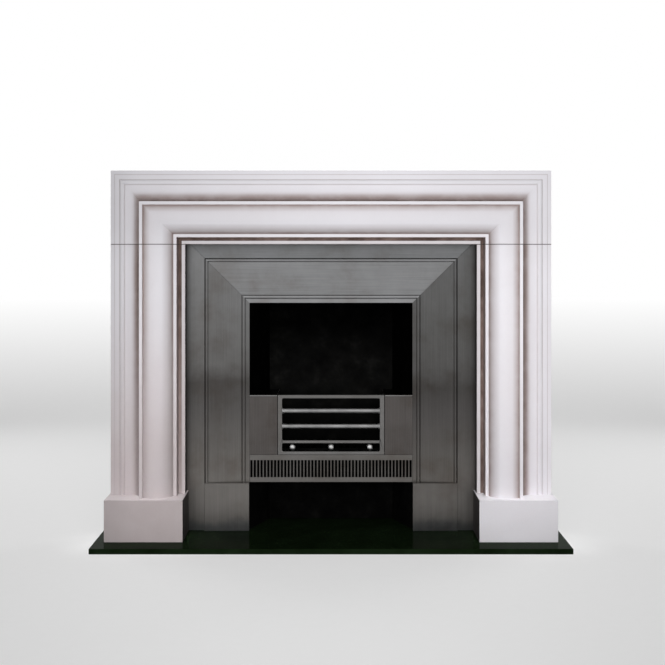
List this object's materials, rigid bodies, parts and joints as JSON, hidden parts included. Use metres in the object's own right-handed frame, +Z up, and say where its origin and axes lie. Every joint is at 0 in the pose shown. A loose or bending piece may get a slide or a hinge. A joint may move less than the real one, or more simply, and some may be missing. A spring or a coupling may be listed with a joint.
{
  "type": "fireplace",
  "caption": "Stone bolection fireplace surround on a dark polished hearth, with a brushed steel register grate, lift-out fire bars, sliding ash drawer and flue flap.",
  "frame": {"origin": "underside of the hearth, on the wall plane, midway between the jambs", "axes": "+X to the viewer's right, +Y into the wall, +Z up"},
  "size_m": [1.438, 0.514, 1.149],
  "materials": {
    "limestone": "honed, aged",
    "hearth_stone": "polished",
    "slate": "sawn",
    "brushed_steel": "long-grain brushed",
    "polished_steel": "polished",
    "cast_iron": "sooty black",
    "sheet_steel": "matt black"
  },
  "bodies": {
    "fireplace": {"ash_runner_left": "sheet_steel", "ash_runner_right": "sheet_steel", "back_hearth": "hearth_stone", "base_block_left": "brushed_steel", "base_block_right": "brushed_steel", "cheek_left": "cast_iron", "cheek_right": "cast_iron", "fireback": "cast_iron", "fixing_lugs": "sheet_steel", "flap_brackets": "sheet_steel", "flap_rod": "sheet_steel", "flue_spigot": "sheet_steel", "foot_block_left": "limestone", "foot_block_right": "limestone", "header": "limestone", "hearth_slab": "hearth_stone", "hob_floor_left": "sheet_steel", "hob_floor_right": "sheet_steel", "hob_front_left": "brushed_steel", "hob_front_right": "brushed_steel", "hob_side_left": "sheet_steel", "hob_side_right": "sheet_steel", "hob_top_left": "brushed_steel", "hob_top_right": "brushed_steel", "inner_frame_left": "brushed_steel", "inner_frame_right": "brushed_steel", "inner_frame_top": "brushed_steel", "jamb_left": "limestone", "jamb_right": "limestone", "outer_bead_left": "brushed_steel", "outer_bead_right": "brushed_steel", "outer_bead_top": "brushed_steel", "panel_left": "brushed_steel", "panel_right": "brushed_steel", "panel_top": "brushed_steel", "slip_left": "brushed_steel", "slip_right": "brushed_steel", "slip_top": "brushed_steel", "smoke_hood": "sheet_steel", "stone_dowels": "slate", "throat_plate": "cast_iron"},
    "bar_front": {"bar_frame": "polished_steel", "fire_bar_upper": "polished_steel", "fire_bar_middle": "polished_steel", "ball_spindles": "polished_steel"},
    "grate": {"bottom_grate": "cast_iron"},
    "ash_drawer": {"fret": "brushed_steel", "ash_pan": "sheet_steel"},
    "flap": {"register_flap": "cast_iron", "flap_eye": "cast_iron"}
  },
  "joints": [
    {"name": "bar_front_lift", "type": "slide", "parent": "fireplace", "child": "bar_front", "axis": [0, 0, 1], "range_m": [0, 0.2]},
    {"name": "grate_lift", "type": "slide", "parent": "fireplace", "child": "grate", "axis": [0, 0, 1], "range_m": [0, 0.15]},
    {"name": "ash_drawer_slide", "type": "slide", "parent": "fireplace", "child": "ash_drawer", "axis": [0, -1, 0], "range_m": [0, 0.12]},
    {"name": "flap_hinge", "type": "hinge", "parent": "fireplace", "child": "flap", "pos_m": [0, 0.133, 0.7535], "axis": [1, 0, 0], "range_deg": [0, 100]}
  ]
}
